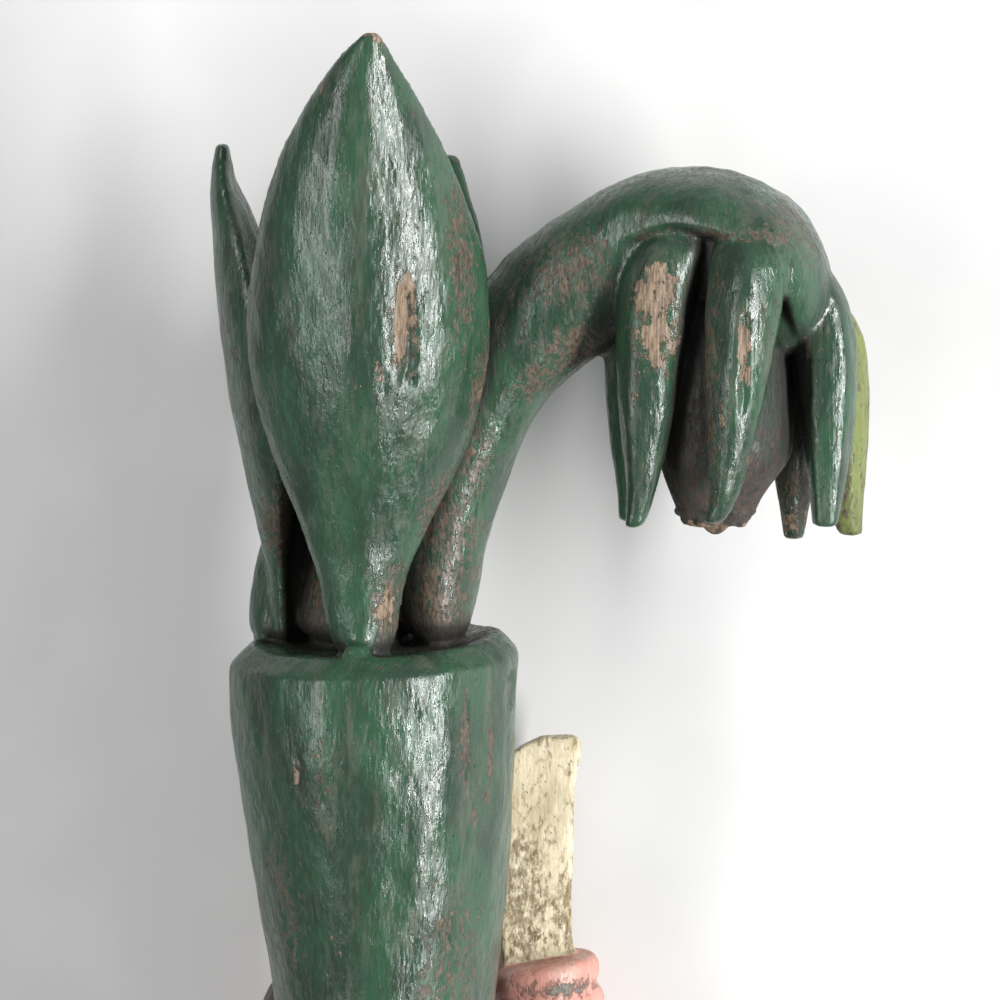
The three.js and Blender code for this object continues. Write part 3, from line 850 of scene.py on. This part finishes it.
def lowerProfile():
    start, foot, r = shaftJoint - shaft["gap"], shaftFoot, shaft["radius"]
    return [
        (start - 31, 4), (start - 31, 8.3), (start - 0.8, 8.3), (start, 9.1), (start, 18.2),
        (start - 0.8, 19), (start - 3.4, 19), (start - 4.6, 18.2), (start - 7, 16.6), (start - 8.8, 16.6),
        (start - 10.8, 18), (start - 15, 18.9), (start - 19.4, 18.2), (start - 23, 16.4),
        (start - 24.5, r), (start - 220, 14.9), (foot + 52.5, 13.2), (foot + 46, 13), (foot + 43.4, 13.4),
        (foot + 40.5, 15.4), (foot + 36, 16.3), (foot + 31.5, 15.6), (foot + 28, 13.8), (foot + 24, 13.8),
        (foot + 12, 14.6), (foot + 3.5, 14.1), (foot + 1, 12.8), (foot, 11), (foot, 4),
    ]


# Adds rings along the long plain stretches, so that they can wander a little
def fillStretches(profile):
    full = [profile[0]]
    for (z0, r0), (z1, r1) in zip(profile, profile[1:]):
        count = int(abs(z1 - z0) // shaft["between"]) + 1 if min(r0, r1) > 11 else 1
        for i in range(1, count + 1):
            share = i / count
            full.append((z0 + (z1 - z0) * share, r0 + (r1 - r0) * share))
    return full


def drawShaft(name, profile):
    x, y = shaftAxis
    stations = [(x, y, z, radius, radius) for z, radius in fillStretches(profile)]
    piece = drawLimb(name, stations, sides=shaft["sides"], smoothing=1, exact=False)
    piece.name = piece.data.name = name
    seed = sum(profile[0])
    for vertex in piece.data.vertices:
        place = vertex.co / mm
        away = Vector((place.x - x, place.y - y, 0))
        if away.length > 11:
            waver = noise.noise(Vector((place.x / 14, place.y / 14, place.z / 50 + seed))) * 0.35
            knocks = noise.noise(Vector((place.x / 5, place.y / 5, place.z / 9 + seed))) * 0.12
            vertex.co += away.normalized() * (waver + knocks) * mm
    return piece


# ---- joining the finial

block = {
    "voxel": 0.75,
    "softening": 3,
    # share of the faces kept: on the side of the tree that is looked at most, and elsewhere
    "keepSeen": 0.47,
    "keepRest": 0.155,
    "seenAbove": -100,
}


def gatherFinial():
    parts = {
        "trunk": [drawTrunk()],
        "leaf": [drawLeaf(name, *form) for name, form in leaves.items()],
        "stub": [drawLimb("stub", stub), drawLimb("heart", heart, sides=12), drawBall("nub", *nub)],
        "arch": drawArch(),
        "fruit": [drawFruit(name, *form) for name, form in fruits.items()],
        "core": drawCore(),
        "skin": [*drawHead(), drawTorso(), *drawArms(), *drawFeet()],
        "blade": drawBlade(),
        "cloth": drawCloth(),
        "plinth": [drawPlinth()],
    }
    return parts


# The drawn surfaces as one tree, with the paint and the name of the limb that each face belongs to
def rememberLimbs(parts):
    corners, faces, owners = [], [], []
    for region, pieces in parts.items():
        for piece in pieces:
            first = len(corners)
            corners += [vertex.co / mm for vertex in piece.data.vertices]
            for face in piece.data.polygons:
                faces.append([first + index for index in face.vertices])
                owners.append((region, piece.name.split(".")[0]))
    return BVHTree.FromPolygons(corners, faces), owners


def carveAsOne(parts):
    deselectAll()
    pieces = [piece for group in parts.values() for piece in group]
    for piece in pieces:
        piece.select_set(True)
    bpy.context.view_layer.objects.active = pieces[0]
    bpy.ops.object.join()
    whole = bpy.context.object
    whole.name = whole.data.name = "carvedFinial"
    bpy.ops.object.modifier_add(type="REMESH")
    remesh = whole.modifiers[-1]
    remesh.mode = "VOXEL"
    remesh.voxel_size = block["voxel"] * mm
    bpy.ops.object.modifier_apply(modifier=remesh.name)
    bpy.ops.object.modifier_add(type="SMOOTH")
    soften = whole.modifiers[-1]
    soften.factor = 0.5
    soften.iterations = block["softening"]
    bpy.ops.object.modifier_apply(modifier=soften.name)
    return whole


# ---- the points of a mesh as arrays, in mm


def readPoints(mesh):
    count = len(mesh.vertices)
    places = np.empty(count * 3, dtype=np.float32)
    mesh.vertices.foreach_get("co", places)
    normals = np.empty(count * 3, dtype=np.float32)
    mesh.vertices.foreach_get("normal", normals)
    return places.reshape(-1, 3).astype(float) / mm, normals.reshape(-1, 3).astype(float)


def writePoints(mesh, places):
    mesh.vertices.foreach_set("co", (places * mm).astype(np.float32).ravel())
    mesh.update()


def cloudy(places, across, along, shift=0.0):
    scaled = places / (across, across, along) + shift
    return np.array([noise.noise(Vector(place)) for place in scaled])


def step(values, low, high):
    share = np.clip((values - low) / (high - low), 0, 1)
    return share * share * (3 - 2 * share)


# ---- what the knife and the years left: relief on the closely set points, before thinning

hewing = {
    "planes": (13, 46, 0.75),       # across, along and depth of the broad uneven planes
    "dents": (5.5, 9, 0.3),
    "ripple": (2.2, 4, 0.1),
    "broken": (2, 2.4, 1.1),        # the broken underside of the core
}
# gouges: limb, middle (x, z), half width, half length, depth; positive side is the steep one
gouges = [
    ("frontLeaf", 8, 71.6, 2.1, 11, 1.5),
    ("frontLeaf", 5.2, 70, 1, 7, 0.35),
    ("frontLeaf", 2.6, 60.5, 1.6, 3, 0.3),
    ("fruitFront", 80.4, 66, 1.1, 11, 1.1),
    ("fruitFrontLeft", 61, 77, 4.6, 9, 0.3),
    ("fruitFrontRight", 94.6, 59, 1.2, 8, 0.5),
    ("trunk", 30, -10, 1.4, 4.5, 0.9),
    ("trunk", -16, -25, 0.9, 5, 0.35),
    ("trunk", -11, -30, 0.6, 3, 0.3),
    ("trunk", 20.4, -20, 0.8, 12, 0.3),
]


def nameLimbs(places, drawn):
    tree, owners = drawn
    found = [owners[tree.find_nearest(Vector(place))[2]] for place in places]
    return np.array([item[0] for item in found]), np.array([item[1] for item in found])


def carveRelief(whole, drawn):
    mesh = whole.data
    places, normals = readPoints(mesh)
    regions, limbs = nameLimbs(places, drawn)
    soft = np.where(np.isin(regions, ("skin", "blade", "cloth")), 0.45, 1.0)
    face = np.isin(limbs, ("skull", "nose", "eye", "lip", "brow", "ear", "pupil"))
    soft[face] = 0.12
    lift = np.zeros(len(places))
    for key, shift in (("planes", 3.1), ("dents", 7.7), ("ripple", 1.3)):
        across, along, depth = hewing[key]
        lift += cloudy(places, across, along, shift) * depth * soft
    across, along, depth = hewing["broken"]
    underCore = (limbs == "core") & (places[:, 2] < 31)
    lift[underCore] += cloudy(places[underCore], across, along) * depth
    for limb, x, z, halfWidth, halfLength, depth in gouges:
        ragged = cloudy(places[limbs == limb], 1.6, 2.6, 5) * 0.35
        here = places[limbs == limb]
        u = (here[:, 0] - x) / halfWidth + ragged
        v = np.abs(here[:, 2] - z) / halfLength + ragged
        cut = np.clip((u + 1) / 1.5, 0, 1) * np.clip((1 - u) / 0.35, 0, 1) * np.clip((1 - v) / 0.22, 0, 1)
        cut[normals[limbs == limb][:, 1] > 0.1] = 0
        lift[limbs == limb] -= cut * depth
    writePoints(mesh, places + normals * lift[:, None])


# Fewer faces: most are kept on the tree's front, where the small relief is
def thinOut(whole):
    deselectAll()
    whole.select_set(True)
    bpy.context.view_layer.objects.active = whole
    for seen, keep in ((True, block["keepSeen"]), (False, block["keepRest"])):
        bpy.ops.object.mode_set(mode="EDIT")
        bpy.context.tool_settings.mesh_select_mode = (False, False, True)
        bpy.ops.mesh.select_all(action="DESELECT")
        bpy.ops.object.mode_set(mode="OBJECT")
        picked = [
            (face.center.z / mm > block["seenAbove"] and face.normal.y < 0.15) == seen
            for face in whole.data.polygons
        ]
        whole.data.polygons.foreach_set("select", picked)
        bpy.ops.object.mode_set(mode="EDIT")
        bpy.ops.mesh.decimate(ratio=keep)
        bpy.ops.object.mode_set(mode="OBJECT")
    count = sum(len(face.vertices) - 2 for face in whole.data.polygons)
    print("finial thinned to", count, "triangles")


# ---- where the paint is worn, thin or dirty, and where shade is painted into the recesses

# limb or region, middle (x, y, z), reach across, reach along, strength
bareSpots = [
    ("frontLeaf", (8.2, -37, 71.6), 2.7, 13, 2.2),
    ("frontLeaf", (4, -36, 66), 4, 8, 0.55),
    ("frontLeaf", (2.4, -35.5, 60), 3.4, 4, 0.62),
    ("frontLeaf", (1.8, -35, 136), 3.4, 2.4, 1),
    ("frontLeaf", (-10.6, -33.5, 124.6), 2, 3, 0.9),
    ("frontLeaf", (4, -23.5, 9), 4, 9, 0.85),
    ("frontLeaf", (24.6, -21, 58), 2.4, 13, 0.6),
    ("frontLeaf", (15, -27, 32), 4, 9, 0.5),
    ("arch", (44, -19, 85), 9, 7, 0.34),
    ("hood", (90, -19, 94), 4.5, 5, 0.62),
    ("hood", (93.5, -20, 88), 4, 6, 0.62),
    ("hood", (76, -18, 101), 6, 1.6, 0.6),
    ("fruitFrontLeft", (61.6, -29.5, 80), 6.4, 8, 1.05),
    ("fruitFrontLeft", (62.6, -32, 70), 6.4, 9, 1.05),
    ("fruitFrontLeft", (57, -31, 60), 3.4, 7, 0.9),
    ("fruitFront", (80.5, -39, 66), 1.7, 13, 1.3),
    ("fruitFront", (75.6, -37, 50), 2.2, 16, 0.6),
    ("fruitFrontRight", (94.6, -28, 59), 2.4, 9, 0.8),
    ("fruitBackRight", (93.6, 5, 27), 5, 6, 0.85),
    ("core", (74, -11, 27), 12, 2.2, 1),
    ("trunk", (-16, -27, -25), 1.6, 6, 0.9),
    ("trunk", (-11, -30, -19), 1.1, 3.6, 0.9),
    ("trunk", (-7, -26, -62), 4, 7, 0.6),
    ("trunk", (-18, -18, -66), 4, 8, 0.6),
    ("trunk", (17, -23, -59), 4, 4, 0.6),
    ("trunk", (30.4, -8.6, -9), 2.4, 6, 0.7),
    ("blade", (35, 36, -76), 9, 5, 0.5),
    ("fingers", (44, 27, -86), 8, 2.4, 0.8),
]
brownSpots = [
    ("frontLeaf", (21, -30, 92), 5, 26, 0.85),
    ("frontLeaf", (24.6, -22, 56), 4.5, 18, 1),
    ("frontLeaf", (15, -20, 32), 6, 12, 0.9),
    ("frontLeaf", (5, -23, 9), 5.6, 12, 1),
    ("frontLeaf", (8, -37, 71), 5, 14, 0.6),
    ("leftLeaf", (-19, -6, 26), 7, 17, 1),
    ("leftLeaf", (-30, -6, 60), 5, 40, 0.45),
    ("arch", (13, -9, 8), 11, 18, 1),
    ("arch", (16, -10, 25), 9, 14, 0.9),
    ("arch", (22, -12.6, 44), 6, 11, 0.8),
    ("arch", (46, -16.6, 66), 10, 7, 1),
    ("arch", (37, -15, 58), 7, 7, 0.8),
    ("arch", (44, -19, 84), 13, 11, 0.7),
    ("arch", (33, -15, 76), 8, 12, 0.4),
    ("hood", (88, -20, 92), 12, 9, 0.8),
    ("hood", (66, -24, 91), 12, 2.6, 0.9),
    ("hood", (79, -25, 92), 14, 2.4, 1),
    ("heart", (0, -5, 15), 30, 30, 1),
    ("fruitFrontLeft", (62, -31, 74), 8, 14, 0.6),
    ("fruitFrontLeft", (68, -24, 66), 4, 24, 1),
    ("fruitFront", (74.6, -33, 60), 4.4, 26, 1),
    ("fruitFront", (84, -34, 42), 3, 10, 0.7),
    ("fruitFrontRight", (92.6, -22, 58), 4, 26, 1),
    ("fruitFarRight", (100, -8, 46), 6, 26, 1),
    ("fruitBackRight", (93.6, 4, 34), 9, 12, 0.8),
    ("core", (74, -11, 40), 20, 18, 0.8),
    ("trunk", (0, 0, 1), 27, 3.4, 1),
    ("trunk", (20.4, -24, -19), 1.8, 14, 0.9),
    ("trunk", (26, -17.5, -24), 2, 16, 0.9),
    ("trunk", (23, -21, -34), 1.6, 12, 0.7),
    ("trunk", (18, -21, -74), 12, 26, 0.62),
    ("trunk", (-20, -18, -60), 8, 26, 0.5),
    ("trunk", (-12, -27, -26), 6, 14, 0.4),
    ("blade", (33, 36, -66), 6, 18, 0.7),
    ("blade", (44, 36, -70), 4, 12, 0.6),
    ("fingers", (42, 28, -86), 14, 3, 1),
]
paintOf = {
    "trunk": "green", "leaf": "green", "stub": "green", "arch": "green", "fruit": "green", "core": "core",
    "skin": "skin", "blade": "cream", "cloth": "cloth", "plinth": "plinth",
}
paintOfLimb = {
    "fruitFarRight": "ripe", "hair": "hair", "brow": "hair", "eye": "eye", "pupil": "hair", "lip": "lip",
}


def averaged(values, ends, counts, rounds):
    for i in range(rounds):
        gathered = np.zeros_like(values)
        for axis in range(values.shape[1]):
            gathered[:, axis] = np.bincount(ends[:, 0], values[ends[:, 1], axis], len(values))
            gathered[:, axis] += np.bincount(ends[:, 1], values[ends[:, 0], axis], len(values))
        values = (values + gathered) / (1 + counts[:, None])
    return values


# How much of the view from each point the rest of the piece shuts off
def shutIn(mesh, places, normals, reach, rays):
    tree = BVHTree.FromPolygons([Vector(place) for place in places], [list(f.vertices) for f in mesh.polygons])
    draw = np.random.default_rng(11)
    leaning = draw.normal(size=(rays, 3))
    leaning /= np.linalg.norm(leaning, axis=1)[:, None]
    shut = np.zeros(len(places))
    for i, (place, normal) in enumerate(zip(places, normals)):
        start = Vector(place + normal * 0.5)
        for ray in leaning:
            towards = Vector(normal * 1.05 + ray)
            distance = tree.ray_cast(start, towards.normalized(), reach)[3]
            if distance is not None:
                shut[i] += 1 - distance / reach
    return shut / rays


def spotted(spots, places, regions, limbs):
    amount = np.zeros(len(places))
    for where, middle, across, along, strength in spots:
        away = (places - middle) / (across, across, along)
        near = np.exp(-((away**2).sum(axis=1) ** 1.5)) * strength
        near[(limbs != where) & (regions != where)] = 0
        amount = np.maximum(amount, near)
    return amount


def markWear(piece, drawn=None, reach=22.0, rays=12):
    mesh = piece.data
    places, normals = readPoints(mesh)
    if drawn:
        regions, limbs = nameLimbs(places, drawn)
    else:
        regions = limbs = np.array([piece.name] * len(places))
    ends = np.empty(len(mesh.edges) * 2, dtype=np.int32)
    mesh.edges.foreach_get("vertices", ends)
    ends = ends.reshape(-1, 2)
    counts = np.bincount(ends.ravel(), minlength=len(places)).astype(float)
    near = ((places - averaged(places, ends, counts, 3)) * normals).sum(axis=1)
    far = ((places - averaged(places, ends, counts, 14)) * normals).sum(axis=1)
    proud = step(near, np.quantile(near, 0.86), np.quantile(near, 0.99)) * 0.6
    proud += step(far, np.quantile(far, 0.84), np.quantile(far, 0.985)) * 0.6
    sunk = step(-near, np.quantile(-near, 0.9), np.quantile(-near, 0.995)) * 0.4
    shut = shutIn(mesh, places, normals, reach, rays)
    # shade painted into recesses and creases: how much each point is shut in darkens it, together with the dirt
    # there
    shadeAndGrime = averaged(shut[:, None], ends, counts, 2)[:, 0]
    marks = {
        "wear": np.clip(proud, 0, 1),
        "shadeAndGrime": np.clip(shadeAndGrime * 1.5 + sunk, 0, 1),
        "bare": spotted(bareSpots, places, regions, limbs),
        "brown": spotted(brownSpots, places, regions, limbs),
    }
    for name, values in marks.items():
        layer = mesh.attributes.new(name, "FLOAT", "POINT")
        layer.data.foreach_set("value", values.astype(np.float32))
    return regions, limbs


def paintFinial(whole, regions, limbs):
    mesh = whole.data
    mesh.materials.clear()
    order = list(paints)
    for key in order:
        mesh.materials.append(paints[key])
    index = [order.index(paintOfLimb.get(limb) or paintOf[region]) for region, limb in zip(regions, limbs)]
    mesh.polygons.foreach_set("material_index", [index[face.vertices[0]] for face in mesh.polygons])


def finishFinial():
    parts = gatherFinial()
    drawn = rememberLimbs(parts)
    print("finial:", sum(len(group) for group in parts.values()), "limbs drawn")
    whole = carveAsOne(parts)
    print("joined into one block:", len(whole.data.polygons), "faces")
    carveRelief(whole, drawn)
    thinOut(whole)
    regions, limbs = markWear(whole, drawn)
    paintFinial(whole, regions, limbs)
    print("wear and paint marked")
    whole.data.transform(layDown)
    keepInBox(whole)
    bpy.ops.object.shade_smooth()
    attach(whole, "root")
    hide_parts("finial")


def finishShaft(name, node, profile):
    piece = drawShaft(name, profile)
    markWear(piece)
    piece.data.materials.append(paints["shaft"])
    piece.data.transform(layDown)
    keepInBox(piece)
    bpy.ops.object.shade_smooth()
    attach(piece, "root")
    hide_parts(node)
    print(name, "done:", len(piece.data.polygons), "faces")


print("camera, floor and lights")
setLights(setCamera())
setWorld()
setFloor()
paints = {
    "green": paintedWood("greenEnamel", greenPaint),
    "ripe": paintedWood("ripeEnamel", ripePaint),
    "core": paintedWood("shadedCoreEnamel", shadedCorePaint),
    "skin": paintedWood("pinkEnamel", skinPaint),
    "lip": paintedWood("redEnamel", lipPaint),
    "hair": paintedWood("blackEnamel", hairPaint),
    "eye": paintedWood("whiteEnamel", eyePaint),
    "cream": paintedWood("creamEnamel", creamPaint),
    "cloth": paintedWood("clothEnamel", clothPaint),
    "plinth": paintedWood("plinthEnamel", plinthPaint),
    "shaft": paintedWood("shaftEnamel", shaftPaint),
}
print("paints mixed")
finishFinial()
finishShaft("upperLength", "upper_shaft", upperProfile())
finishShaft("lowerLength", "lower_shaft", lowerProfile())
